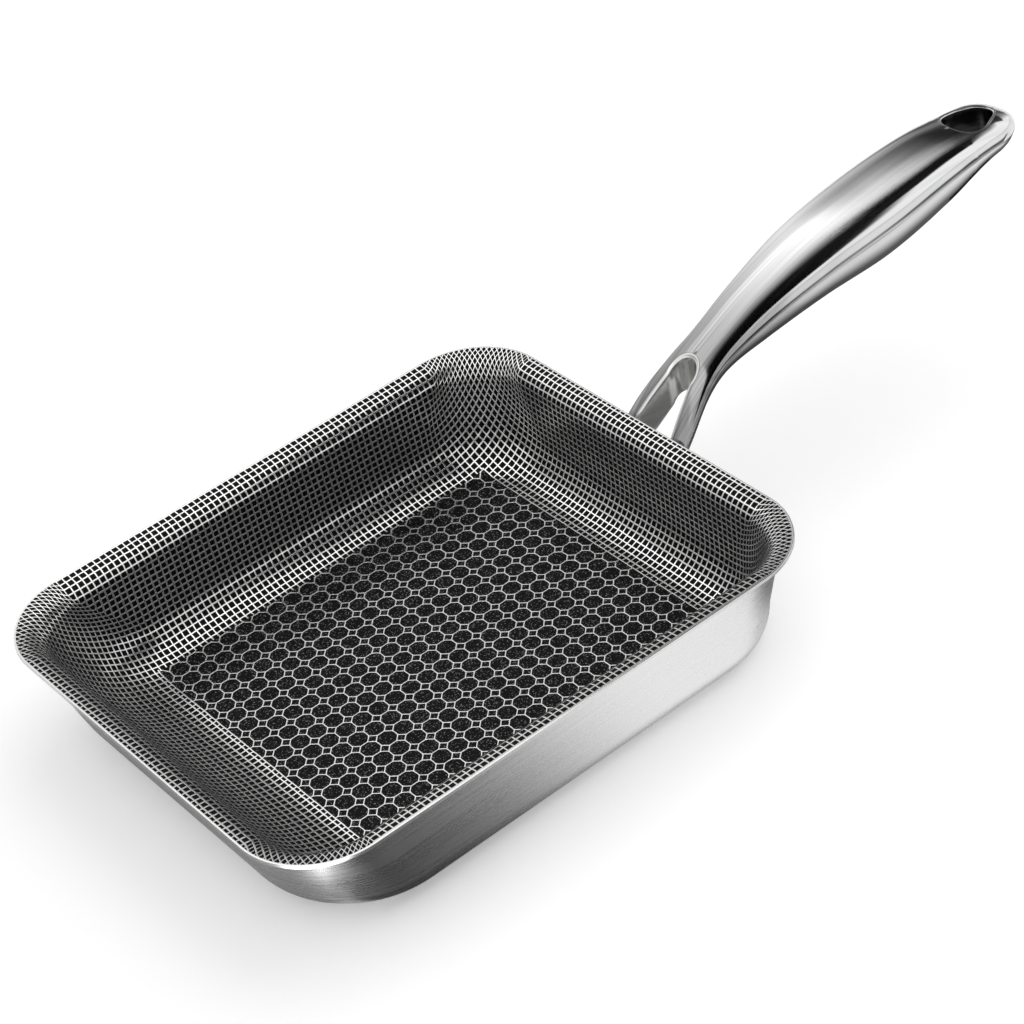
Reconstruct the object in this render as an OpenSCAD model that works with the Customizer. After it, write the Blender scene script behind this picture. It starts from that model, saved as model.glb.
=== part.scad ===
// Rectangular rolled-omelette pan: a pressed clad-sheet pan with a flared rim and a hollow
// two-shell steel handle that splits into a fork and is welded to the rear wall.
// Millimetres. The origin is the centre of the rim outline on the ground; +X runs to the handle.

/* [Pan] */
// Length over the rim, front to handle side
rim_l = 198; // [170:1:240]
// Width over the rim
rim_w = 167.5; // [140:0.5:200]
// Height from the underside to the top of the rim
pan_h = 38; // [34:0.5:50]
// Corner radius of the rim outline
rim_r = 27; // [22:0.5:32]
// Upward slope of the flange in degrees
flange_slope = 8; // [3:0.5:12]
// How much rounder the corners are at the base than at the rim
corner_growth = 13; // [8:0.5:16]

/* [Outside of the wall] */
// Overhang of the flange past the side wall
flange_w = 4.2; // [3.5:0.1:5]
// Bend radius under the flange
bend_r = 2.5; // [1.5:0.1:3.5]
// Lean of the two side walls in degrees, doubled on the front wall
wall_draft = 3.5; // [2:0.5:5]
// Radius between the walls and the base
cove_r = 12; // [10:0.5:13]
// How far the foot of the front wall is drawn in
front_pull = 4.8; // [3:0.1:7]

/* [Inside of the wall] */
// Distance from the rim to where the lip turns down into the pan
lip_w = 7; // [6.5:0.1:8.5]
// Bend radius of the lip, at the underside of the sheet
lip_bend_r = 5; // [4:0.1:6]
// Lean of the inner walls in degrees
inside_draft = 6; // [5:0.5:8]
// Radius between the walls and the floor
inside_cove_r = 15; // [14:0.5:17]
// How far the floor is drawn in at the front
floor_pull = 15.5; // [13:0.5:18]

/* [Clad sheet] */
// Outer magnetic steel ply
outer_t = 0.4; // [0.3:0.05:0.6]
// Aluminium core ply at the rim
core_t = 0.6; // [0.5:0.05:1]
// Extra thickness of the core under the floor
floor_gain = 0.85; // [0.5:0.05:1.5]
// Inner steel ply
inner_t = 0.3; // [0.2:0.05:0.4]
// Non-stick coating on the inner ply
coat_t = 0.1; // [0.08:0.01:0.2]
// Bare steel left along the rim edge
bare_edge = 0.7; // [0.4:0.1:1.5]

/* [Handle] */
// Reach from the rear wall to the tip
handle_l = 168.5; // [140:0.5:200]
// Greatest width of the grip
handle_w = 29.6; // [24:0.2:34]
// Height of the grip above the rim
handle_rise = 39.5; // [30:0.5:55]
// Sheet thickness of the two handle shells
shell_t = 1.2; // [0.8:0.1:1.6]
// Step between the upper and the lower shell along the seam
seam_step = 0.5; // [0.3:0.1:0.7]
// Upper shell height above the seam at the grip
crown_h = 8.6; // [7:0.1:12]
// Lower shell depth below the seam at the grip
belly_h = 18.3; // [12:0.1:20]

/* [Fork] */
// Distance from the rear wall to the centre of the rounded end of the fork gap
fork_reach = 20.5; // [18:0.5:24]
// Radius of the rounded end of the fork gap
fork_r = 4.9; // [4:0.1:5.5]
// Half width of the fork gap at the wall
fork_mouth = 9.4; // [7:0.1:10]
// Thickness of the strap that lines the fork gap
strap_t = 1; // [0.6:0.1:1.4]
// Thickness of the two welding feet
foot_t = 1.5; // [1:0.1:2.5]
// Width of a welding foot
foot_w = 15; // [13:0.5:17]
// Drop from the top of the rim to the upper edge of the feet
foot_drop = 6; // [6:0.5:9]
// Gap between the base's rounded edge and the feet
foot_gap = 0.5; // [0.5:0.5:2]
// Corner radius of a welding foot
foot_r = 3; // [1:0.5:4]
// Radius of a weld nugget
nugget_r = 1.6; // [1:0.1:2]

/* [Hanging hole] */
// Distance from the handle tip to the centre of the hole
hole_back = 17.5; // [15:0.5:22]
// Half length of the hole
hole_a = 9; // [7:0.5:9.5]
// Half width of the hole
hole_b = 7.2; // [5:0.1:7.5]
// How far the outline bulges into a rounded triangle
hole_tri = 0.1; // [0:0.01:0.14]
// Wall of the sleeve that lines the hole
sleeve_t = 0.9; // [0.6:0.1:1.1]

/* [Hidden] */

steel = "silver";
satin = "lightgray";
core_tone = "gainsboro";
coat_tone = [0.12, 0.12, 0.13];

corner_steps = 8;
cove_steps = 6;
bend_steps = 4;
hole_steps = 40;
section_steps = 12;
grip_stations = 22;
tip_stations = 7;
fork_steps = 18;
round_fn = 32;

sheet_t = outer_t + core_t + inner_t + coat_t;
half_l = rim_l / 2;
half_w = rim_w / 2;
// The underside of the flange at its edge and where it would meet the side wall
edge_z = pan_h - sheet_t * cos(flange_slope);
bend_z = edge_z - flange_w * tan(flange_slope);
// The base lies nearer to the handle than the rim, so that the rear wall stands upright
base_shift = bend_z * tan(wall_draft);
rear_wall_x = half_l - flange_w;

// The two faces of the wall, each as [overhang, bend radius, lean, cove radius, floor lift,
// pull of the front]
OUTSIDE = [flange_w, bend_r, wall_draft, cove_r, 0, front_pull];
INSIDE = [lip_w, lip_bend_r, inside_draft, inside_cove_r, floor_gain, floor_pull];

// Inset of a face from the rim at a height
function wall_inset(face, z) =
    face[0] + (edge_z - face[0] * tan(flange_slope) - z) * tan(face[2]);
// Share of the wall's height that lies above a height
function depth_share(z) = min(max((bend_z - z) / bend_z, 0), 1);
// Corner radius of the outline at an inset and a height
function outline_r(inset, z) =
    rim_r - inset + corner_growth * min(max((bend_z - z) / (bend_z - cove_r), 0), 1);

function cove_centre(face) =
    let (z = face[3] + face[4])
    [wall_inset(face, z) + face[3] / cos(face[2]), z];
function bend_centre(face) =
    let (drop = edge_z - face[1] / cos(flange_slope),
         slack = wall_inset(face, 0) - face[1] / cos(face[2]) - tan(face[2]) * drop,
         inset = slack / (1 - tan(face[2]) * tan(flange_slope)))
    [inset, drop - inset * tan(flange_slope)];

// Side profile of a face of the wall at a depth of the sheet, from the flat floor to the rim:
// each point is [inset from the rim, height]
function profile(face, depth, edge) = concat(
    [for (k = [0 : cove_steps])
        let (a = k * (90 - face[2]) / cove_steps)
        cove_centre(face) - (face[3] - depth) * [sin(a), cos(a)]],
    [for (k = [0 : bend_steps])
        let (a = face[2] + k * (90 - flange_slope - face[2]) / bend_steps)
        bend_centre(face) + (face[1] + depth) * [cos(a), sin(a)]],
    [[depth * sin(flange_slope) + edge * cos(flange_slope),
      edge_z + depth * cos(flange_slope) - edge * sin(flange_slope)]]);

// Rounded rectangle at one profile point, anticlockwise from above, with its front drawn in
function outline(face, point) =
    let (inset = point[0], z = point[1], r = outline_r(inset, z),
         pull = face[5] * pow(depth_share(z), 2) / 2)
    [for (quarter = [0 : 3], k = [0 : corner_steps])
        let (a = quarter * 90 + k * 90 / corner_steps,
             sx = (quarter == 0 || quarter == 3) ? 1 : -1,
             sy = quarter < 2 ? 1 : -1)
        [sx * (half_l - inset - r - pull) + r * cos(a) + base_shift * depth_share(z) + pull,
         sy * (half_w - inset - r) + r * sin(a),
         z]];

// Quads between successive rings of n points, closed round each ring
function ring_faces(rings, n) = [
    for (k = [0 : rings - 2], j = [0 : n - 1])
        let (next = (j + 1) % n)
        [k * n + j, (k + 1) * n + j, (k + 1) * n + next, k * n + next]];

// One bowl-shaped ply between two faces of the wall, each at its depth of the sheet
module ply(below, from_depth, above, to_depth, edge = 0) {
    outlines = concat([for (p = profile(below, from_depth, edge)) outline(below, p)],
                      [for (p = profile(above, to_depth, edge)) outline(above, p)]);
    n = len(outlines[0]);
    half = len(outlines) / 2;
    order = concat([for (k = [0 : half - 1]) k], [for (k = [half - 1 : -1 : 0]) half + k]);
    points = [for (k = order) each outlines[k]];
    last = (len(outlines) - 1) * n;
    polyhedron(points, concat([[for (j = [0 : n - 1]) j]],
                              ring_faces(len(outlines), n),
                              [[for (j = [n - 1 : -1 : 0]) last + j]]));
}

module outer_ply() {
    color(satin)
        ply(OUTSIDE, 0, OUTSIDE, outer_t);
}

module core_ply() {
    color(core_tone)
        ply(OUTSIDE, outer_t, INSIDE, outer_t + core_t);
}

module inner_ply() {
    color(steel)
        ply(INSIDE, outer_t + core_t, INSIDE, outer_t + core_t + inner_t);
}

module nonstick_coating() {
    color(coat_tone)
        ply(INSIDE, sheet_t - coat_t, INSIDE, sheet_t, bare_edge);
}

// Form of the handle at a few places along it, each as
// [share of the reach, seam height above the rim as a share of the rise,
//  crown, belly and half width as shares of their greatest values]
FORM = [[0.00, -0.36, 0.50, 0.60, 1.00],
        [0.07, -0.06, 0.58, 0.60, 0.89],
        [0.14, 0.18, 0.60, 0.48, 0.70],
        [0.20, 0.31, 0.64, 0.46, 0.63],
        [0.30, 0.46, 0.82, 0.64, 0.72],
        [0.45, 0.62, 0.98, 0.83, 0.90],
        [0.62, 0.72, 1.00, 1.00, 1.00],
        [0.78, 0.79, 0.95, 0.87, 0.93],
        [0.90, 0.79, 0.86, 0.49, 0.80],
        [1.00, 0.77, 0.80, 0.36, 0.70]];
// Share of the reach where the rounded tip starts, and how far round its last section lies
tip_start = 0.92;
tip_turn = 86;
// Roundness of the sections: 2 is an ellipse and larger values are squarer
upper_power = 3;
lower_power = 2;
// Greatest share of a section that its wall may take
wall_share = 0.45;

// Smooth curve through column c of FORM at share u of the reach
function form_slope(i, c) =
    i == 0 ? (FORM[1][c] - FORM[0][c]) / (FORM[1][0] - FORM[0][0]) :
    i == len(FORM) - 1 ? (FORM[i][c] - FORM[i - 1][c]) / (FORM[i][0] - FORM[i - 1][0]) :
    (FORM[i + 1][c] - FORM[i - 1][c]) / (FORM[i + 1][0] - FORM[i - 1][0]);
function form_at(u, c) =
    let (i = max([for (k = [0 : len(FORM) - 2]) if (FORM[k][0] <= u) k]),
         h = FORM[i + 1][0] - FORM[i][0],
         s = (u - FORM[i][0]) / h)
    FORM[i][c] * (1 + 2 * s) * (1 - s) * (1 - s) + FORM[i + 1][c] * s * s * (3 - 2 * s)
    + h * s * (1 - s) * ((1 - s) * form_slope(i, c) - s * form_slope(i + 1, c));

// Shares of the reach where the handle is cut into sections, closer together at the tip
STATIONS = concat([for (k = [0 : grip_stations - 1]) k * tip_start / grip_stations],
                  [for (k = [0 : tip_stations])
                      tip_start + (1 - tip_start) * sin(k * tip_turn / tip_stations)]);
function tip_taper(u) = u <= tip_start ? 1 : sqrt(1 - pow((u - tip_start) / (1 - tip_start), 2));
function seam_z(u) = pan_h + handle_rise * form_at(u, 1);

// Half of a section of the handle as [y, z] from +Y to -Y: side 1 is above the seam, -1 below
function half_section(u, side, depth) =
    let (taper = tip_taper(u),
         across = (form_at(u, 4) * handle_w / 2 - (side > 0 ? 0 : seam_step)) * taper,
         up = (side > 0 ? form_at(u, 2) * crown_h : form_at(u, 3) * belly_h) * taper,
         w = across - min(depth, wall_share * across),
         h = up - min(depth, wall_share * up),
         p = 2 / (side > 0 ? upper_power : lower_power))
    [for (k = [0 : section_steps])
        let (a = k * 180 / section_steps)
        [sign(cos(a)) * w * pow(abs(cos(a)), p), seam_z(u) + side * h * pow(abs(sin(a)), p)]];

function lift(u, flat) = [for (q = flat) [rear_wall_x + u * handle_l, q[0], q[1]]];
function reversed(list) = [for (k = [len(list) - 1 : -1 : 0]) list[k]];

// Triangles between successive sections of n points, closed round each section
function skin_faces(rings, n) = [
    for (k = [0 : rings - 2], j = [0 : n - 1])
        let (next = (j + 1) % n, a = k * n + j, b = k * n + next,
             c = (k + 1) * n + next, d = (k + 1) * n + j)
        each [[a, b, c], [a, c, d]]];

// Triangles that close an end section from its two facing halves, which start at point first
function cap_faces(first, n, flip) = [
    for (k = [0 : n / 2 - 2])
        let (a = first + k, b = first + n - 1 - k)
        each flip ? [[a, b, b - 1], [a, b - 1, a + 1]] : [[a, b - 1, b], [a, a + 1, b - 1]]];

// Solid through closed sections, each running clockwise seen from the tip
module loft(sections) {
    n = len(sections[0]);
    last = (len(sections) - 1) * n;
    polyhedron([for (s = sections) each s],
               concat(cap_faces(0, n, true), skin_faces(len(sections), n), cap_faces(last, n, false)));
}

// One pressed shell of the handle, closed only by its own thickness
module handle_shell(side) {
    loft([for (u = STATIONS)
        let (skin = concat(lift(u, half_section(u, side, 0)),
                           lift(u, reversed(half_section(u, side, shell_t)))))
        side > 0 ? reversed(skin) : skin]);
}

// The whole outer form of the handle as one solid
module handle_form() {
    loft([for (u = STATIONS)
        let (below = half_section(u, -1, 0))
        reversed(concat(lift(u, half_section(u, 1, 0)),
                        lift(u, [for (k = [section_steps : -1 : 0]) below[k]])))]);
}

// Upright prism over a plan outline, taller than the handle
module through(outline_points) {
    translate([0, 0, -pan_h])
        linear_extrude(4 * pan_h + handle_rise)
            polygon(outline_points);
}

// Plan of the fork gap, grown by a margin: a rounded end that widens towards the wall
function fork_plan(margin) =
    let (slant = asin((fork_mouth - fork_r) / fork_reach), r = fork_r + margin,
         far = rear_wall_x - sheet_t,
         end_x = rear_wall_x + fork_reach)
    concat([for (k = [0 : fork_steps])
                let (a = (2 * k / fork_steps - 1) * (90 + slant))
                [end_x + r * cos(a), r * sin(a)]],
           [[far, r / cos(slant) + (end_x - far) * tan(slant)],
            [far, -r / cos(slant) - (end_x - far) * tan(slant)]]);

// Plan of the hanging hole, grown by a margin
function hole_plan(margin) =
    [for (k = [0 : hole_steps - 1])
        let (a = k * 360 / hole_steps, r = 1 + hole_tri * cos(3 * a))
        [rear_wall_x + handle_l - hole_back + (hole_a * r + margin) * cos(a),
         (hole_b * r + margin) * sin(a)]];

// What the welding feet and the wall take from the root of the fork
module root_cut() {
    translate([rear_wall_x - handle_l, -handle_w, -pan_h])
        cube([handle_l + foot_t, 2 * handle_w, 4 * pan_h]);
}

module trimmed_shell(side) {
    difference() {
        handle_shell(side);
        through(fork_plan(strap_t));
        through(hole_plan(sleeve_t));
        root_cut();
    }
}

module handle_upper_shell() {
    color(steel)
        trimmed_shell(1);
}

module handle_lower_shell() {
    color(steel)
        trimmed_shell(-1);
}

module fork_strap() {
    color(steel)
        difference() {
            intersection() {
                handle_form();
                through(fork_plan(strap_t));
            }
            through(fork_plan(0));
            root_cut();
        }
}

module hang_hole_sleeve() {
    color(steel)
        intersection() {
            handle_form();
            difference() {
                through(hole_plan(sleeve_t));
                through(hole_plan(0));
            }
        }
}

foot_y = fork_mouth + strap_t / 2 + shell_t;
foot_z = cove_r + foot_gap;
foot_h = pan_h - foot_drop - foot_z;
nugget_pitch = foot_w - 2 * nugget_r - foot_r;

// Places a child at each weld nugget of the foot on one side
module at_nuggets(side) {
    for (k = [-1, 1])
        translate([rear_wall_x, side * foot_y + k * nugget_pitch / 2, foot_z + foot_r])
            rotate([0, 90, 0])
                children();
}

module weld_foot(side) {
    difference() {
        translate([rear_wall_x, side * foot_y, foot_z + foot_h / 2])
            rotate([0, 90, 0])
                linear_extrude(foot_t) {
                    square([foot_h - 2 * foot_r, foot_w], center = true);
                    square([foot_h, foot_w - 2 * foot_r], center = true);
                    for (sx = [-1, 1], sy = [-1, 1])
                        translate([sx * (foot_h / 2 - foot_r), sy * (foot_w / 2 - foot_r)])
                            circle(foot_r, $fn = round_fn);
                }
        at_nuggets(side)
            cylinder(h = 3 * foot_t, r = nugget_r, center = true, $fn = round_fn);
    }
}

module weld_foot_left() {
    color(steel)
        weld_foot(1);
}

module weld_foot_right() {
    color(steel)
        weld_foot(-1);
}

module weld_nuggets() {
    color(satin)
        for (side = [-1, 1])
            at_nuggets(side)
                cylinder(h = foot_t, r = nugget_r, $fn = round_fn);
}

outer_ply();
core_ply();
inner_ply();
nonstick_coating();
handle_upper_shell();
handle_lower_shell();
fork_strap();
hang_hole_sleeve();
weld_foot_left();
weld_foot_right();
weld_nuggets();
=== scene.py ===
"""Dresses a rectangular rolled-omelette pan: clad sheet, etched interior and forked handle.

The pan, the handle, the welds and the camera are in millimetres, as in the part's source, and MM
turns them to metres. Noise, bump, cards and lamps are in metres.
"""

import logging
import math
from dataclasses import dataclass, field
from enum import Enum
from typing import Optional, Sequence, Union

import bmesh
import bpy
import numpy as np
from mathutils import Matrix, Vector


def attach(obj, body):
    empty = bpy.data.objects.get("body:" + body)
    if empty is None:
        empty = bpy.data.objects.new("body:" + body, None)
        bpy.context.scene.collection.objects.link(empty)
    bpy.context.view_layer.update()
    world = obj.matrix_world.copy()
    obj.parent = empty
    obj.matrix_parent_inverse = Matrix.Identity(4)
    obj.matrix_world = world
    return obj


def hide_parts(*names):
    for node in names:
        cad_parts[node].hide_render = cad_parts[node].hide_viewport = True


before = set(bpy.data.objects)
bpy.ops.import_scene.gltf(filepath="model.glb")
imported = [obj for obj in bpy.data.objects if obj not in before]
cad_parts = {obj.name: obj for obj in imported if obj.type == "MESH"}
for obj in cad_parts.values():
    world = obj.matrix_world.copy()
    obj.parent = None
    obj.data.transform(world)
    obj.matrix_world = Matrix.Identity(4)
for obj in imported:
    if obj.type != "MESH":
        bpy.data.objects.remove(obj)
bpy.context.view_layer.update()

MM = 0.001
BODY = "root"
MERGE = 2e-6
DEGENERATE = 1e-7
BLACK = (0.0, 0.0, 0.0)
WHITE = (1.0, 1.0, 1.0)
Triple = tuple[float, float, float]
Material = bpy.types.Material
log = logging.getLogger("pan")


class Slot(Enum):
    """The record's material slots."""

    SATIN = "satin_steel"
    POLISHED = "polished_steel"
    ETCHED = "etched_steel"
    CORE = "core_aluminium"
    COATING = "coating"


class Side(Enum):
    """The two pressed halves of the handle: above and below the seam."""

    UPPER = 1
    LOWER = -1


# ---------------- shader graph


class Wire:
    """An output socket whose arithmetic adds Math nodes to the graph it belongs to."""

    def __init__(self, graph: "Graph", socket: bpy.types.NodeSocket) -> None:
        """Keeps the graph and the socket."""
        self.graph = graph
        self.socket = socket

    def __add__(self, other: "Value") -> "Wire":
        """Sum."""
        return self.graph.math("ADD", self, other)

    __radd__ = __add__

    def __sub__(self, other: "Value") -> "Wire":
        """Difference."""
        return self.graph.math("SUBTRACT", self, other)

    def __rsub__(self, other: "Value") -> "Wire":
        """Difference from a number."""
        return self.graph.math("SUBTRACT", other, self)

    def __mul__(self, other: "Value") -> "Wire":
        """Product."""
        return self.graph.math("MULTIPLY", self, other)

    def __truediv__(self, other: "Value") -> "Wire":
        """Quotient."""
        return self.graph.math("DIVIDE", self, other)

    def __abs__(self) -> "Wire":
        """Absolute value."""
        return self.graph.math("ABSOLUTE", self)

    def __gt__(self, other: "Value") -> "Wire":
        """One where this is greater, otherwise zero."""
        return self.graph.math("GREATER_THAN", self, other)


Value = Union[Wire, float]


class Graph:
    """The node tree of a material or a world, built up by method calls."""

    def __init__(self, owner: Union[str, bpy.types.World]) -> None:
        """Empties the owner's tree.

        Args:
            owner: A world, or the name of a material that is made.
        """
        self.owner = bpy.data.materials.new(owner) if isinstance(owner, str) else owner
        self.owner.use_nodes = True
        self.tree = self.owner.node_tree
        self.tree.nodes.clear()

    def node(
        self,
        kind: str,
        settings: Optional[dict] = None,
        inputs: Optional[dict] = None,
        output: Union[str, int] = 0,
    ) -> "Wire":
        """Adds one node.

        Args:
            kind: The node's type.
            settings: Properties set first, such as an operation.
            inputs: Values or wires by socket name or number.
            output: The output that is returned.

        Returns:
            The chosen output as a wire.
        """
        made = self.tree.nodes.new(kind)
        for key, value in (settings or {}).items():
            setattr(made, key, value)
        for key, value in (inputs or {}).items():
            socket = made.inputs[key]
            if isinstance(value, Wire):
                self.tree.links.new(value.socket, socket)
            else:
                socket.default_value = value
        return Wire(self, made.outputs[output] if len(made.outputs) else None)

    def math(
        self, operation: str, first: Value, second: Value = 0.0, third: Optional[float] = None
    ) -> Wire:
        """Adds a Math node.

        Args:
            operation: The node's operation.
            first: First operand.
            second: Second operand.
            third: Third operand, where the operation has one.

        Returns:
            The result.
        """
        values = {0: first, 1: second}
        if third is not None:
            values[2] = third
        return self.node("ShaderNodeMath", {"operation": operation}, values)

    def ramp(
        self, value: Value, low: float, high: float, start: float = 0.0, end: float = 1.0
    ) -> Wire:
        """Smooth step of a value from low to high, which gives start to end.

        Args:
            value: What is mapped.
            low: The value where the step starts.
            high: The value where the step ends.
            start: The result at low.
            end: The result at high.

        Returns:
            The mapped value.
        """
        return self.node(
            "ShaderNodeMapRange",
            {"interpolation_type": "SMOOTHSTEP"},
            {"Value": value, "From Min": low, "From Max": high, "To Min": start, "To Max": end},
        )

    def colour(self, factor: Value, first: Sequence[float], second: Sequence[float]) -> Wire:
        """Mixes two colours.

        Args:
            factor: Share of the second colour.
            first: Colour at zero.
            second: Colour at one.

        Returns:
            The mixed colour.
        """
        ends = [c if isinstance(c, Wire) else (*c, 1.0) for c in (first, second)]
        return self.node(
            "ShaderNodeMix", {"data_type": "RGBA"}, {0: factor, 6: ends[0], 7: ends[1]}, 2
        )

    def place(self) -> Wire:
        """Object coordinates, in metres."""
        return self.node("ShaderNodeTexCoord", None, None, "Object")

    def parts(self, vector: Wire) -> list[Wire]:
        """Splits a vector into X, Y and Z."""
        across = self.node("ShaderNodeSeparateXYZ", None, {0: vector})
        return [Wire(self, socket) for socket in across.socket.node.outputs]

    def rays(self, *kinds: str) -> Wire:
        """One for rays of the given kinds, by their output's name, otherwise zero."""
        found = [self.node("ShaderNodeLightPath", None, None, kind) for kind in kinds]
        return found[0] if len(found) == 1 else self.math("MAXIMUM", *found)

    def noise(
        self, vector: Wire, scale: Sequence[float], detail: float = 2.0, rough: float = 0.5
    ) -> Wire:
        """Noise in a stretched space.

        Args:
            vector: Coordinates in metres.
            scale: Stretch along each axis, in repeats per metre.
            detail: Octaves.
            rough: Weight of the finer octaves.

        Returns:
            A value about 0.5.
        """
        stretched = {"Vector": vector, "Scale": tuple(scale)}
        placed = self.node("ShaderNodeMapping", None, stretched, "Vector")
        values = {"Vector": placed, "Scale": 1.0, "Detail": detail, "Roughness": rough}
        return self.node("ShaderNodeTexNoise", {"noise_dimensions": "3D"}, values)

    def bump(self, height: Wire, strength: float, distance: float) -> Wire:
        """Bump from a height.

        Args:
            height: Height from 0 to 1.
            strength: The node's strength.
            distance: Height of one unit, in metres.

        Returns:
            The bent normal.
        """
        levels = {"Height": height, "Strength": strength, "Distance": distance}
        return self.node("ShaderNodeBump", None, levels, "Normal")

    def surface(self, **inputs: object) -> Material:
        """Ends the graph with a Principled surface.

        Args:
            inputs: Socket values or wires, with underscores for spaces.

        Returns:
            The finished material.
        """
        named = {key.replace("_", " "): value for key, value in inputs.items()}
        body = self.node("ShaderNodeBsdfPrincipled", None, named)
        self.node("ShaderNodeOutputMaterial", None, {"Surface": body})
        return self.owner


# ---------------- finishes


@dataclass(frozen=True)
class PaintedShade:
    """Painted shade: metal coloured darker at low values along one axis.

    Attributes:
        axis: Number of the axis.
        low: Place up to which the painted shade is darkest, in metres.
        high: Place beyond which no shade is painted, in metres.
        left: What the darkest painted shade leaves of the tone.
    """

    axis: int
    low: float
    high: float
    left: float


@dataclass(frozen=True)
class GrainedSteel:
    """Stainless steel with a fine grain that runs one way.

    Attributes:
        name: Material name.
        tone: Base colour.
        roughness: Mean roughness.
        spread: How much the grain changes the roughness.
        grain: Noise repeats per metre along X, Y and Z.
        depth: Depth of the grain, in metres.
        aniso: Stretch of the highlights across the grain.
        turn: Turn of that stretch, in whole turns.
        streak: What the darkest of the grain leaves of the tone.
        painted_shade: Where shade is painted into the colour, if anywhere.
        cloud: How much slow cloudiness changes the roughness.
        cloud_scale: Repeats of that cloudiness per metre.
    """

    name: str
    tone: Triple
    roughness: float
    spread: float
    grain: Triple
    depth: float
    aniso: float = 0.0
    turn: float = 0.0
    streak: float = 0.86
    painted_shade: Optional[PaintedShade] = None
    cloud: float = 0.04
    cloud_scale: float = 26.0

    def shade(self, share: float) -> Triple:
        """A share of the tone."""
        return tuple(channel * share for channel in self.tone)

    def build(self) -> Material:
        """Makes the material: grain and cloudiness change colour, roughness and bump."""
        g = Graph(self.name)
        place = g.place()
        grain = g.noise(place, self.grain, 3.0, 0.6)
        cloud = g.noise(place, (self.cloud_scale,) * 3)
        rough = self.roughness + (grain - 0.5) * self.spread + (cloud - 0.5) * self.cloud
        tone = g.colour(grain, self.shade(self.streak), self.tone)
        # Painted shade: the tone darkens towards low values along one axis.
        if self.painted_shade:
            # The grain is one half on average, so twice the share is mixed in.
            shaded_tone = g.colour(grain, BLACK, self.shade(self.painted_shade.left * 2))
            along = g.parts(place)[self.painted_shade.axis]
            tone = g.colour(g.ramp(along, self.painted_shade.low, self.painted_shade.high), shaded_tone, tone)
        return g.surface(
            Base_Color=tone,
            Metallic=1.0,
            Roughness=rough,
            Anisotropic=self.aniso,
            Anisotropic_Rotation=self.turn,
            Normal=g.bump(grain, 0.5, self.depth),
        )


SATIN = GrainedSteel(
    "brushed_outside", (0.93, 0.93, 0.935), 0.28, 0.16, (9.0, 9.0, 1500.0), 0.00002, 0.9, 0.25
)
BARE = GrainedSteel("bare_rim", (0.85, 0.85, 0.84), 0.24, 0.1, (700.0, 700.0, 700.0), 0.00001)
CORE = GrainedSteel("core_edge", (0.83, 0.83, 0.83), 0.3, 0.1, (500.0, 500.0, 900.0), 0.00001)
# Painted shade: the handle's colour darkens towards the fork.
POLISHED = GrainedSteel(
    "polished_handle", (0.97, 0.97, 0.975), 0.12, 0.12, (5.0, 800.0, 25.0), 0.000006, 0.3,
    streak=0.68, painted_shade=PaintedShade(0, 0.11, 0.185, 0.3),
)
LINING = GrainedSteel("lined_edge", (0.82, 0.82, 0.81), 0.2, 0.12, (40.0, 40.0, 900.0), 0.00001)
# Painted shade: the hole's lining is near black below its top lip.
BORE = GrainedSteel(
    "bore_lining", (0.85, 0.85, 0.855), 0.22, 0.12, (40.0, 40.0, 900.0), 0.00001,
    painted_shade=PaintedShade(2, 0.0738, 0.0752, 0.07),
)


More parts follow.
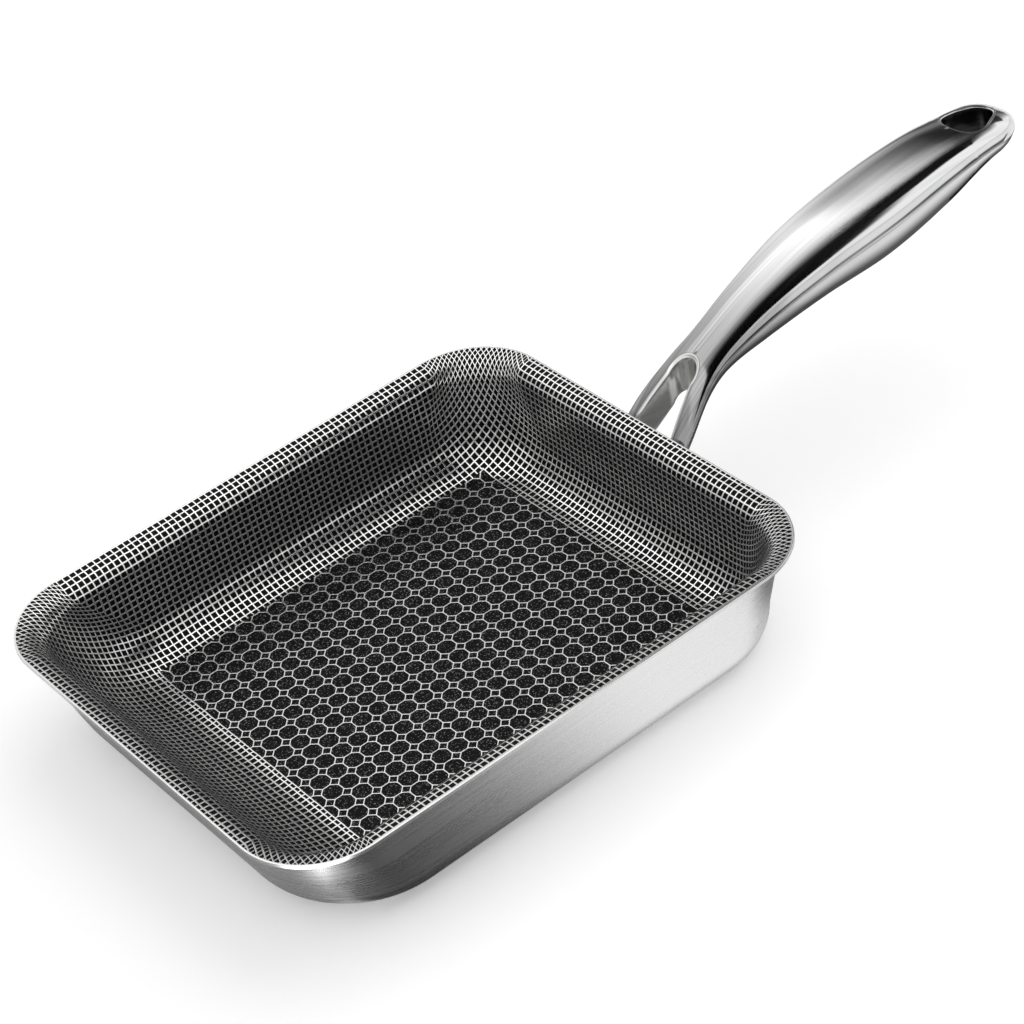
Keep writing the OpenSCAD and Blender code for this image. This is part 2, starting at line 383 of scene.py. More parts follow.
@dataclass(frozen=True)
class EtchedInterior:
    """The pan's inside: raised steel lines over a black non-stick coating.

    The lines follow the flat blank, whose X and Y are the piece's UV map in millimetres.
    Inside the etched rectangle the lines bound octagons with small squares between them,
    and outside it they are a square mesh. A line closes each end of the rectangle, whose sides
    it passes by no more than "beyond", and "far" keeps it off elsewhere. Lengths are in
    millimetres, but the relief is in metres and the scales are noise repeats per metre.
    """

    name: str = "etched_interior"
    pitch: float = 6.284
    square: float = 1.8
    line: float = 0.17
    mesh_pitch: float = 2.25
    mesh_line: float = 0.23
    low_x: float = -57.13
    high_x: float = 74.68
    low_y: float = -61.2
    high_y: float = 61.41
    centre_x: float = -51.185
    centre_y: float = 58.078
    coat: Triple = (0.003, 0.003, 0.0034)
    fleck: Triple = (0.16, 0.16, 0.165)
    steel: Triple = (0.86, 0.86, 0.85)
    wobble: float = 0.22
    wobble_scale: float = 900.0
    drift: float = 0.3
    drift_scale: float = 240.0
    cell_blend: float = 0.35
    mesh_blend: float = 0.25
    beyond: float = 0.4
    far: float = 9.0
    soft: float = 0.1
    coat_rough: float = 0.42
    steel_rough: float = 0.2
    fleck_scale: float = 1900.0
    fleck_rise: float = 0.15
    coat_ior: float = 1.15
    relief: float = 0.00016

    def nearest(self, g: Graph, value: Value, pitch: float) -> Wire:
        """Distance of a value from the nearest multiple of the pitch."""
        share = g.math("FRACT", value / pitch + 0.5)
        return abs(share - 0.5) * pitch

    def octagons(self, g: Graph, x: Wire, y: Wire) -> Wire:
        """Distance from the lines round the octagons and the small squares.

        With u and v the distances from the nearest octagon's centre, a slanted side lies where
        u + v is the pitch less the square's half diagonal, and a straight side, which the small
        square interrupts, where u or v is half the pitch.

        Args:
            g: The graph.
            x: Blank X in millimetres.
            y: Blank Y in millimetres.

        Returns:
            Distance in millimetres.
        """
        u = self.nearest(g, x - self.centre_x, self.pitch)
        v = self.nearest(g, y - self.centre_y, self.pitch)
        past = u + v - (self.pitch - self.square)
        slanted = abs(past) * math.sqrt(0.5)
        straight = self.pitch / 2 - g.math("MAXIMUM", u, v) + (past > 0.0) * self.pitch
        return g.math("SMOOTH_MIN", slanted, straight, self.cell_blend)

    def build(self) -> Material:
        """Makes the material."""
        g = Graph(self.name)
        uv = g.node("ShaderNodeUVMap", {"uv_map": "blank"}, None, "UV")
        place = g.place()
        across, along = g.parts(uv)[:2]
        wobble = g.noise(place, (self.wobble_scale,) * 3) - 0.5
        drift = g.noise(place, (self.drift_scale,) * 3, 1.0) - 0.5
        x = across / MM + wobble * self.wobble + drift * self.drift
        y = along / MM + wobble * self.wobble - drift * self.drift
        inside = g.math(
            "MINIMUM",
            g.math("MINIMUM", x - self.low_x, self.high_x - x),
            g.math("MINIMUM", y - self.low_y, self.high_y - y),
        )
        etched = inside > 0.0
        cells = self.octagons(g, x, y)
        near_x, near_y = (self.nearest(g, value, self.mesh_pitch) for value in (x, y))
        mesh = g.math("SMOOTH_MIN", near_x, near_y, self.mesh_blend)
        ends = g.math("MINIMUM", abs(x - self.low_x), abs(x - self.high_x))
        ends = ends + (1.0 - (inside > -self.beyond)) * self.far
        distance = etched * cells + (1.0 - etched) * mesh
        distance = g.math("MINIMUM", distance, ends)
        half = etched * self.line + (1.0 - etched) * self.mesh_line
        raised = g.ramp(half - distance, -self.soft, self.soft)
        fine = g.noise(place, (self.fleck_scale,) * 3, 1.0)
        flecks = g.ramp(fine, 0.6, 0.7) * etched
        base = g.colour(flecks, self.coat, self.fleck)
        rough = g.ramp(raised, 0.0, 1.0, self.coat_rough, self.steel_rough) + wobble * 0.1
        height = raised + flecks * self.fleck_rise
        return g.surface(
            Base_Color=g.colour(raised, base, self.steel),
            Metallic=raised,
            Roughness=rough,
            IOR=self.coat_ior,
            Normal=g.bump(height, 0.7, self.relief),
        )


# ---------------- mesh helpers


def add_object(name: str, data: bpy.types.ID) -> bpy.types.Object:
    """Puts an object that holds the given data in the scene."""
    made = bpy.data.objects.new(name, data)
    bpy.context.scene.collection.objects.link(made)
    return made


def level_sheet(
    name: str, low: Sequence[float], high: Sequence[float], height: float = 0.0
) -> bpy.types.Mesh:
    """Makes a level rectangle between two corners at a height, all in metres."""
    (x0, y0), (x1, y1) = low, high
    mesh = bpy.data.meshes.new(name)
    corners = ((x0, y0), (x1, y0), (x1, y1), (x0, y1))
    mesh.from_pydata([(x, y, height) for x, y in corners], [], [(0, 1, 2, 3)])
    return mesh


def weld(mesh: bpy.types.Mesh, closed: bool) -> None:
    """Merges doubled points, and turns a closed mesh's faces outward.

    Args:
        mesh: The mesh that is changed.
        closed: Whether the mesh encloses a volume.
    """
    work = bmesh.new()
    work.from_mesh(mesh)
    bmesh.ops.remove_doubles(work, verts=work.verts, dist=MERGE)
    bmesh.ops.dissolve_degenerate(work, edges=work.edges, dist=DEGENERATE)
    if closed:
        bmesh.ops.recalc_face_normals(work, faces=work.faces)
    work.to_mesh(mesh)
    work.free()


def lattice_faces(rows: int, columns: int, wrap: bool) -> np.ndarray:
    """Quads between the points of a grid.

    Args:
        rows: Number of rows.
        columns: Points in a row.
        wrap: Whether each row closes on itself.

    Returns:
        An array of four point numbers per face.
    """
    k, j = np.mgrid[: rows - 1, : columns if wrap else columns - 1]
    after = (j + 1) % columns
    here, above = k * columns, (k + 1) * columns
    return np.stack([here + j, here + after, above + after, above + j], axis=-1).reshape(-1, 4)


def end_faces(rows: int, columns: int) -> list[list[int]]:
    """Faces that close a grid at its first and its last row."""
    count = rows * columns
    return [list(range(columns)), list(range(count - columns, count))]


def make_piece(
    name: str,
    points: np.ndarray,
    faces: list,
    material: Material,
    replaces: Sequence[str],
    uv: Optional[np.ndarray] = None,
    closed: bool = True,
    sharp: float = 40.0,
) -> bpy.types.Object:
    """Turns points and faces into a piece that rides on the pan.

    Args:
        name: Object name.
        points: Points in millimetres.
        faces: Point numbers of each face.
        material: The finish.
        replaces: CAD nodes it stands for.
        uv: Blank coordinates of each point, in metres.
        closed: Whether the surface encloses a volume.
        sharp: Angle in degrees above which an edge stays sharp.

    Returns:
        The new object.
    """
    mesh = bpy.data.meshes.new(name)
    mesh.from_pydata((points.reshape(-1, 3) * MM).tolist(), [], faces)
    if uv is not None:
        layer = mesh.uv_layers.new(name="blank")
        owner = np.empty(len(mesh.loops), dtype=np.int32)
        mesh.loops.foreach_get("vertex_index", owner)
        layer.data.foreach_set("uv", uv.reshape(-1, 2)[owner].astype(np.float32).ravel())
    weld(mesh, closed)
    mesh.polygons.foreach_set("use_smooth", np.ones(len(mesh.polygons), dtype=bool))
    mesh.set_sharp_from_angle(angle=math.radians(sharp))
    mesh.materials.append(material)
    piece = add_object(name, mesh)
    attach(piece, BODY)
    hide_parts(*replaces)
    log.info("%s: %d faces", name, len(mesh.polygons))
    return piece


# ---------------- pan


@dataclass(frozen=True)
class WallFace:
    """One face of the pan's wall, from which the layers' depths are measured.

    Attributes:
        overhang: Distance from the rim at which the face turns down.
        bend_r: Radius of that turn, at depth zero.
        draft: Lean of the wall.
        cove_r: Radius between the wall and the floor, at depth zero.
        lift: How far the floor lies above its depth.
        pull: How far the floor is drawn in at the front.
    """

    overhang: float
    bend_r: float
    draft: float
    cove_r: float
    lift: float
    pull: float


@dataclass
class CladPan:
    """The pressed pan: an outer steel ply, an aluminium core, an inner steel ply and a coating.

    The steps and points are counts along the mesh, which is finest at the coves and corners.
    """

    rim_l: float = 198.0
    rim_w: float = 167.5
    height: float = 38.0
    rim_r: float = 27.0
    slope: float = math.radians(8.0)
    outside: WallFace = WallFace(4.2, 2.5, math.radians(3.5), 12.0, 0.0, 4.8)
    inside: WallFace = WallFace(7.0, 5.0, math.radians(6.0), 15.0, 0.85, 15.5)
    corner_growth: float = 13.0
    outer_t: float = 0.4
    core_t: float = 0.6
    inner_t: float = 0.3
    coat_t: float = 0.1
    bare_edge: float = 0.7
    round_edge: float = 0.25
    corner_stretch: float = 0.22
    floor_edge: float = 2.0
    corner_steps: int = 22
    side_steps: int = 14
    cove_points: int = 25
    bend_points: int = 15
    wall_points: int = 10
    lip_points: int = 4
    round_points: int = 5
    edge_z: float = field(init=False)
    bend_z: float = field(init=False)
    shift: float = field(init=False)

    def __post_init__(self) -> None:
        """Works out the heights of the flange and how far the base is moved to the handle."""
        sheet = self.outer_t + self.core_t + self.inner_t + self.coat_t
        self.edge_z = self.height - sheet * math.cos(self.slope)
        self.bend_z = self.edge_z - self.outside.overhang * math.tan(self.slope)
        self.shift = self.bend_z * math.tan(self.outside.draft)

    def rim_point(self, depth: np.ndarray, edge: np.ndarray) -> np.ndarray:
        """Inset and height of a point near the rim's edge, at a depth and a distance inward."""
        sin, cos = math.sin(self.slope), math.cos(self.slope)
        z = self.edge_z + depth * cos - edge * sin
        return np.stack([depth * sin + edge * cos, z], axis=-1)

    def profile(self, face: WallFace, depth: float, edge: float) -> np.ndarray:
        """Side profile of the sheet at a depth, as inset and height.

        A cove arc rises from the floor, a straight line leans with the wall, a second arc turns
        outward under the flange, and a last line runs to the rim.

        Args:
            face: The face that the depth is measured from.
            depth: Depth above that face.
            edge: Distance from the rim's edge at which the profile ends.

        Returns:
            Points from the floor to the rim.
        """
        tan, cos = math.tan(face.draft), math.cos(face.draft)
        foot = face.overhang + (self.edge_z - face.overhang * math.tan(self.slope)) * tan
        cove_z = face.cove_r + face.lift
        cove = np.array([foot - cove_z * tan + face.cove_r / cos, cove_z])
        drop = self.edge_z - face.bend_r / math.cos(self.slope)
        inset = (foot - face.bend_r / cos - tan * drop) / (1 - tan * math.tan(self.slope))
        bend = np.array([inset, drop - inset * math.tan(self.slope)])
        a = np.linspace(0.0, math.pi / 2 - face.draft, self.cove_points)[:, None]
        rise = cove - (face.cove_r - depth) * np.hstack([np.sin(a), np.cos(a)])
        b = np.linspace(face.draft, math.pi / 2 - self.slope, self.bend_points)[:, None]
        turn = bend + (face.bend_r + depth) * np.hstack([np.cos(b), np.sin(b)])
        t = np.linspace(0.0, 1.0, self.wall_points)[1:-1, None]
        wall = rise[-1] + (turn[0] - rise[-1]) * t
        end = self.rim_point(np.array([depth]), np.array([edge]))
        lip = turn[-1] + (end - turn[-1]) * np.linspace(0.0, 1.0, self.lip_points)[1:, None]
        floor = np.array([[rise[0, 0] + self.floor_edge, rise[0, 1]]])
        return np.vstack([floor, rise, wall, turn, lip])

    def outline(self, face: WallFace, profile: np.ndarray) -> tuple[np.ndarray, np.ndarray]:
        """Carries a profile round the pan as rounded rectangles, drawn in at the front.

        The front is drawn in by the square of the share of the wall's height that lies above.

        Args:
            face: The face of the wall.
            profile: Insets and heights.

        Returns:
            Points with one row per profile point, and the plan directions that face outward.
        """
        inset, z = profile[:, :1], profile[:, 1:]
        base_z = self.outside.cove_r
        grown = np.clip((self.bend_z - z) / (self.bend_z - base_z), 0.0, 1.0)
        radius = self.rim_r - inset + self.corner_growth * grown
        share = np.clip((self.bend_z - z) / self.bend_z, 0.0, 1.0)
        pull = face.pull * share**2 / 2
        n = self.corner_steps
        angle = (np.arange(4)[:, None] + np.linspace(0.0, 1.0, n + 1)[None, :]) * math.pi / 2
        sx = np.repeat([1.0, -1.0, -1.0, 1.0], n + 1)[None, :]
        sy = np.repeat([1.0, 1.0, -1.0, -1.0], n + 1)[None, :]
        turn = angle.reshape(1, -1)
        x = sx * (self.rim_l / 2 - inset - radius - pull) + radius * np.cos(turn)
        y = sy * (self.rim_w / 2 - inset - radius) + radius * np.sin(turn)
        corners = np.stack([x, y], axis=-1).reshape(len(profile), 4, n + 1, 2)
        t = np.linspace(0.0, 1.0, self.side_steps + 1)[1:-1][None, None, :, None]
        start, after = corners[:, :, -1:], np.roll(corners[:, :, :1], -1, axis=1)
        plan = np.concatenate([corners, start + (after - start) * t], axis=2)
        facing = np.concatenate([angle, np.repeat(angle[:, -1:], self.side_steps - 1, 1)], 1)
        plan = plan.reshape(len(profile), -1, 2)
        tall = np.broadcast_to(z[:, :, None], (*plan.shape[:2], 1))
        full = np.concatenate([plan, tall], axis=-1)
        full[..., 0] += self.shift * share + pull
        return full, np.stack([np.cos(facing.ravel()), np.sin(facing.ravel())], axis=-1)

    def rounded_end(self, depth: float, inward: float) -> np.ndarray:
        """A small round at the rim's corner: a quarter circle from the face to the edge."""
        r = self.round_edge
        a = np.linspace(0.0, math.pi / 2, self.round_points)
        return self.rim_point(depth + inward * r * (1 - np.cos(a)), r * (1 - np.sin(a)))

    def ply(
        self,
        name: str,
        node: str,
        low: tuple[WallFace, float],
        high: tuple[WallFace, float],
        material: Material,
        edge: float = 0.0,
        rounds: tuple[bool, bool] = (False, False),
    ) -> bpy.types.Object:
        """Builds one ply as a closed bowl between two depths.

        The lower face runs from the floor to the rim and the upper face back again.

        Args:
            name: Object name.
            node: CAD node it stands for.
            low: The wall's face and the depth of the ply's lower face.
            high: The same for its upper face.
            material: The finish.
            edge: How far short of the rim's edge it ends.
            rounds: Whether the lower and the upper corner of the rim are rounded.

        Returns:
            The new object.
        """
        below, above = self.profile(*low, edge), self.profile(*high, edge)
        if rounds[0]:
            below = np.vstack([below[:-1], self.rounded_end(low[1], 1.0)])
        if rounds[1]:
            above = np.vstack([above[:-1], self.rounded_end(high[1], -1.0)])
        under, facing = self.outline(low[0], below)
        over = self.outline(high[0], above)[0]
        points = np.concatenate([under, over[::-1]])
        blank = np.concatenate([self.unfold(under, facing), self.unfold(over, facing)[::-1]])
        rows, columns = points.shape[:2]
        faces = lattice_faces(rows, columns, True).tolist()
        faces += end_faces(rows, columns)
        return make_piece(name, points, faces, material, [node], blank * MM)

    def unfold(self, points: np.ndarray, facing: np.ndarray) -> np.ndarray:
        """Lays a face of the bowl out flat.

        A point goes to its plan position, moved outward by what the length up the wall exceeds
        the plan distance it covers, less at the corners, where drawing stretches the sheet.

        Args:
            points: Rows of points from the floor to the rim.
            facing: Plan direction that faces outward at each column.

        Returns:
            X and Y on the flat blank.
        """
        steps = np.diff(points, axis=0)
        outward = (steps[..., :2] * facing).sum(axis=-1)
        gain = np.cumsum(np.hypot(outward, steps[..., 2]) - outward, axis=0)
        gain = np.vstack([np.zeros((1, gain.shape[1])), gain])
        drawn = 1.0 - self.corner_stretch * (2 * facing[:, 0] * facing[:, 1]) ** 2
        return points[..., :2] + (gain * drawn)[..., None] * facing

    def build(self, satin: Material, core: Material, bare: Material, etched: Material) -> None:
        """Builds the four layers.

        Args:
            satin: Finish of the outer ply.
            core: Finish of the core.
            bare: Finish of the inner ply's bare rim.
            etched: Finish of the coated, etched inside.
        """
        a = self.outer_t
        b = a + self.core_t
        c = b + self.inner_t
        out, ins = self.outside, self.inside
        self.ply("outer_sheet", "outer_ply", (out, 0.0), (out, a), satin,
                 rounds=(True, False))
        self.ply("core_sheet", "core_ply", (out, a), (ins, b), core)
        self.ply("inner_sheet", "inner_ply", (ins, b), (ins, c), bare,
                 rounds=(False, True))
        self.ply("coating_layer", "nonstick_coating", (ins, c), (ins, c + self.coat_t), etched,
                 self.bare_edge)


# ---------------- handle


# Each row: share of the reach, then the shares of the rise of the seam, of the crown above it, of
# the belly below it and of the width.
FORM = np.array(
    [
        [0.00, -0.36, 0.50, 0.60, 1.00],
        [0.07, -0.06, 0.58, 0.60, 0.89],
        [0.14, 0.18, 0.60, 0.48, 0.70],
        [0.20, 0.31, 0.64, 0.46, 0.63],
        [0.30, 0.46, 0.82, 0.64, 0.72],
        [0.45, 0.62, 0.98, 0.83, 0.90],
        [0.62, 0.72, 1.00, 1.00, 1.00],
        [0.78, 0.79, 0.95, 0.87, 0.93],
        [0.90, 0.79, 0.86, 0.49, 0.80],
        [1.00, 0.77, 0.80, 0.36, 0.70],
    ]
)


@dataclass
class ForkedHandle:
    """The hollow handle: two pressed shells, the fork's strap and the hanging hole's sleeve.

    The steps, points and rows are counts along the meshes.
    """

    wall_x: float = 94.8
    reach: float = 168.5
    width: float = 29.6
    rise: float = 39.5
    rim_z: float = 38.0
    shell_t: float = 1.2
    step: float = 0.5
    crown: float = 8.6
    belly: float = 18.3
    fork_reach: float = 20.5
    fork_r: float = 4.9
    fork_mouth: float = 9.4
    strap_t: float = 1.0
    foot_t: float = 1.5
    hole_back: float = 17.5
    hole_a: float = 9.0
    hole_b: float = 7.2
    hole_tri: float = 0.1
    sleeve_t: float = 0.9
    tip_start: float = 0.92
    powers: tuple[float, float] = (3.0, 2.0)
    lip: float = 0.75
    fork_arc_steps: int = 28
    fork_side_points: int = 13
    hole_steps: int = 72
    body_points: int = 74
    tip_points: int = 15
    section_points: int = 25
    lip_points: int = 6
    lining_rows: int = 7
    back_rows: int = 3
    fullest: float = 0.999

    def curve(self, u: np.ndarray, column: int) -> np.ndarray:
        """Smooth curve through a column of the form table.

        Between two rows it is the cubic with the rows' values and slopes, and a row's slope is
        that of the line through its neighbours.

        Args:
            u: Shares of the reach.
            column: Column of the table.

        Returns:
            The curve's values.
        """
        t, v = FORM[:, 0], FORM[:, column]
        slope = np.concatenate(
            [(v[1:2] - v[:1]) / (t[1] - t[0]), (v[2:] - v[:-2]) / (t[2:] - t[:-2]),
             (v[-1:] - v[-2:-1]) / (t[-1] - t[-2])]
        )
        i = np.clip(np.searchsorted(t, u, side="right") - 1, 0, len(t) - 2)
        h = t[i + 1] - t[i]
        s = (u - t[i]) / h
        ends = v[i] * (1 + 2 * s) * (1 - s) ** 2 + v[i + 1] * s * s * (3 - 2 * s)
        return ends + h * s * (1 - s) * ((1 - s) * slope[i] - s * slope[i + 1])

    def section(self, u: np.ndarray, side: Side) -> tuple[np.ndarray, np.ndarray, np.ndarray]:
        """Seam height, half width and rise of the section at shares of the reach."""
        past = np.clip((u - self.tip_start) / (1 - self.tip_start), 0.0, 1.0)
        taper = np.sqrt(1 - past**2)
        upper = side is Side.UPPER
        half = (self.curve(u, 4) * self.width / 2 - (0.0 if upper else self.step)) * taper
        tall = self.curve(u, 2) * self.crown if upper else self.curve(u, 3) * self.belly
        return self.rim_z + self.rise * self.curve(u, 1), half, tall * taper

    def power(self, side: Side) -> float:
        """Roundness of a shell's section: 2 is an ellipse and more is squarer."""
        return self.powers[0] if side is Side.UPPER else self.powers[1]

    def surface_z(self, plan: np.ndarray, side: Side) -> np.ndarray:
        """Height of a shell's outer face over points of the plan.

        Args:
            plan: X and Y.
            side: The shell.

        Returns:
            Heights.
        """
        seam, half, tall = self.section((plan[..., 0] - self.wall_x) / self.reach, side)
        p = self.power(side)
        across = np.clip(np.abs(plan[..., 1]) / np.maximum(half, 1e-6), 0.0, 1.0)
        return seam + side.value * tall * (1 - across**p) ** (1 / p)

    def fork_curve(self, margin: float) -> np.ndarray:
        """Plan of the fork gap from one prong's root round the end to the other's.

        Args:
            margin: How far outside the gap.

        Returns:
            X and Y, from the +Y root to the -Y root.
        """
        slant = math.asin((self.fork_mouth - self.fork_r) / self.fork_reach)
        r = self.fork_r + margin
        end_x = self.wall_x + self.fork_reach
        a = np.linspace(math.pi / 2 + slant, -math.pi / 2 - slant, self.fork_arc_steps + 1)
        arc = np.stack([end_x + r * np.cos(a), r * np.sin(a)], axis=-1)
        root_x = self.wall_x + self.foot_t
        root_y = r / math.cos(slant) + (end_x - root_x) * math.tan(slant)
        t = np.linspace(0.0, 1.0, self.fork_side_points)[:-1, None]
        start = np.array([[root_x, root_y]])
        into = start + (arc[:1] - start) * t
        return np.vstack([into, arc, (into * [1.0, -1.0])[::-1]])

    def hole_curve(self, margin: float, half: bool = False) -> np.ndarray:
        """Plan of the hanging hole: an ellipse whose radius swells three times round.

        Args:
            margin: How far outside the hole.
            half: Whether only the +Y half is wanted, from the pan side to the tip side.

        Returns:
            X and Y.
        """
        a = np.linspace(0.0, 2 * math.pi, self.hole_steps + 1)[:-1]
        if half:
            a = np.linspace(math.pi, 0.0, self.hole_steps // 2 + 1)
        r = 1 + self.hole_tri * np.cos(3 * a)
        centre = self.wall_x + self.reach - self.hole_back
        x = centre + (self.hole_a * r + margin) * np.cos(a)
        return np.stack([x, (self.hole_b * r + margin) * np.sin(a)], axis=-1)

    def stations(self) -> tuple[np.ndarray, np.ndarray]:
        """Places along the handle where its skin has a row of points.

        Returns:
            X of each row, and the half width of the opening there, zero where it is whole.
        """
        fork = self.fork_curve(self.strap_t)
        fork = fork[: len(fork) // 2 + 1]
        hole = self.hole_curve(self.sleeve_t, half=True)
        between = np.linspace(0.0, 1.0, self.body_points)[1:-1, None]
        middle = fork[-1] + (hole[0] - fork[-1]) * between
        turn = np.linspace(0.0, math.pi / 2, self.tip_points)[1:, None]
        tip = np.array([[self.wall_x + self.reach, 0.0]])
        last = hole[-1] + (tip - hole[-1]) * np.sin(turn)
        rows = np.vstack([fork, middle, hole, last])
        rows[np.abs(rows[:, 1]) < 1e-9, 1] = 0.0
        return rows[:, 0], rows[:, 1]

    def shell(self, name: str, node: str, side: Side, material: Material) -> None:
        """Builds one pressed shell from its outer skin, thickened inward.

        At each station the section is a superellipse: the point at angle a has the direction
        (cos a, sin a) and lies where the p-th powers of its shares of the half width and of the
        rise add up to one. The angle runs from the seam to the edge of the opening.

        Args:
            name: Object name.
            node: CAD node it stands for.
            side: Which shell.
            material: The finish.
        """
        x, gap = self.stations()
        u = (x - self.wall_x) / self.reach
        seam, half, tall = self.section(u, side)
        p = self.power(side)
        share = np.clip(gap / np.maximum(half, 1e-6), 0.0, self.fullest)
        stop = np.arctan2((1 - share**p) ** (1 / p), share)
        a = stop[:, None] * np.linspace(0.0, 1.0, self.section_points)[None, :]
        radius = (np.abs(np.cos(a)) ** p + np.abs(np.sin(a)) ** p) ** (-1 / p)
        y = half[:, None] * np.cos(a) * radius
        z = seam[:, None] + side.value * tall[:, None] * np.sin(a) * radius
        left = np.stack([np.broadcast_to(x[:, None], y.shape), y, z], axis=-1)
        right = left * [1.0, -1.0, 1.0]
        rows, columns = y.shape
        quads = lattice_faces(rows, columns, False)[:, :: side.value]
        faces = np.vstack([quads, quads[:, ::-1] + rows * columns]).tolist()
        piece = make_piece(name, np.concatenate([left.reshape(-1, 3), right.reshape(-1, 3)]),
                           faces, material, [node], closed=False, sharp=60.0)
        wall = piece.modifiers.new("wall", "SOLIDIFY")
        wall.thickness = self.shell_t * MM
        wall.offset = -1.0
        wall.use_even_offset = False

    def lining(self, inner: np.ndarray, outer: np.ndarray, wrap: bool) -> tuple[np.ndarray, list]:
        """A lining between two plan curves, with rolled lips at both faces of the handle.

        Its section is a quarter circle from the outer curve over to the inner one, a plain wall
        down the inner curve, a second quarter circle, and a plain back.

        Args:
            inner: Plan of the opening.
            outer: Plan of the lining's back.
            wrap: Whether the curves close on themselves.

        Returns:
            Points and faces.
        """
        lip, low = self.lip_points, self.lip_points + self.lining_rows
        end = low + lip
        a = np.linspace(0.0, math.pi / 2, lip)
        share = np.concatenate(
            [np.sin(a), np.ones(self.lining_rows), np.cos(a), np.zeros(self.back_rows)]
        )
        plan = outer[:, None, :] + (inner - outer)[:, None, :] * share[None, :, None]
        top = self.surface_z(plan, Side.UPPER)
        bottom = self.surface_z(plan, Side.LOWER)
        lip_top = top[:, lip - 1 : lip] - self.lip
        lip_low = bottom[:, low : low + 1] + self.lip
        z = np.empty(plan.shape[:2])
        z[:, :lip] = top[:, :lip] - self.lip * (1 - np.cos(a))
        down = np.linspace(0.0, 1.0, self.lining_rows + 2)[1:-1]
        z[:, lip:low] = lip_top + (lip_low - lip_top) * down
        z[:, low:end] = bottom[:, low:end] + self.lip * (1 - np.sin(a))
        up = np.linspace(0.0, 1.0, self.back_rows + 2)[1:-1]
        z[:, end:] = z[:, end - 1 : end] + (z[:, :1] - z[:, end - 1 : end]) * up
        points = np.concatenate([plan, z[..., None]], axis=-1)
        rows, columns = z.shape
        faces = lattice_faces(rows, columns, True).tolist()
        if wrap:
            last = (rows - 1) * columns
            j = np.arange(columns)
            after = (j + 1) % columns
            faces += np.stack([last + j, last + after, after, j], axis=-1).tolist()
        else:
            faces += end_faces(rows, columns)
        return points, faces

    def build(self, polished: Material, lined: Material, bore: Material) -> None:
        """Builds the shells, the strap and the sleeve.

        Args:
            polished: Finish of the shells.
            lined: Finish of the strap.
            bore: Finish of the sleeve.
        """
        self.shell("handle_top", "handle_upper_shell", Side.UPPER, polished)
        self.shell("handle_under", "handle_lower_shell", Side.LOWER, polished)
        points, faces = self.lining(self.fork_curve(0.0), self.fork_curve(self.strap_t), False)
        make_piece("fork_lining", points, faces, lined, ["fork_strap"])
        points, faces = self.lining(self.hole_curve(0.0), self.hole_curve(self.sleeve_t), True)
        make_piece("hole_lining", points, faces, bore, ["hang_hole_sleeve"])


@dataclass
class RearWelds:
    """The feet and weld nuggets on the outside of the rear wall, as the CAD has them."""

    feet: tuple[str, str] = ("weld_foot_left", "weld_foot_right")
    nuggets: str = "weld_nuggets"
    ease: float = 0.25

    def build(self, lined: Material, satin: Material) -> None:
        """Dresses the CAD nodes and eases the feet's edges.

        Args:
            lined: Finish of the feet.
            satin: Finish of the nuggets.
        """
        for name in (*self.feet, self.nuggets):
            foot = name in self.feet
            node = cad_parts[name]
            node.data.materials.clear()
            node.data.materials.append(lined if foot else satin)
            if foot:
                eased = node.modifiers.new("eased", "BEVEL")
                eased.width = self.ease * MM
                eased.segments = 2
                eased.limit_method = "ANGLE"
            log.info("%s: dressed", name)


# ---------------- studio


@dataclass(frozen=True)
class Patch:
    """A dark round patch of the surround, seen in metal only.

    Attributes:
        toward: Direction of its middle.
        wide: Angle from the middle at which it ends, in degrees.
        narrow: Angle within which it is darkest, in degrees.
        depth: How dark it is there, up to one.
    """

    toward: Triple
    wide: float
    narrow: float
    depth: float


@dataclass(frozen=True)
class Lamp:
    """A square soft lamp.

    Attributes:
        name: Object name.
        place: Where it is, in metres.
        aim: What it points at, in metres.
        size: Side length in metres.
        power: Power in watts.
        in_metal: Whether reflections show it.
    """

    name: str
    place: Triple
    aim: Triple
    size: float
    power: float
    in_metal: bool

    def build(self) -> None:
        """Adds the lamp."""
        data = bpy.data.lights.new(self.name, "AREA")
        data.shape = "SQUARE"
        data.size = self.size
        data.energy = self.power
        lamp = add_object(self.name, data)
        lamp.location = self.place
        toward = Vector(self.aim) - Vector(self.place)
        lamp.rotation_euler = toward.to_track_quat("-Z", "Y").to_euler()
        lamp.visible_glossy = self.in_metal


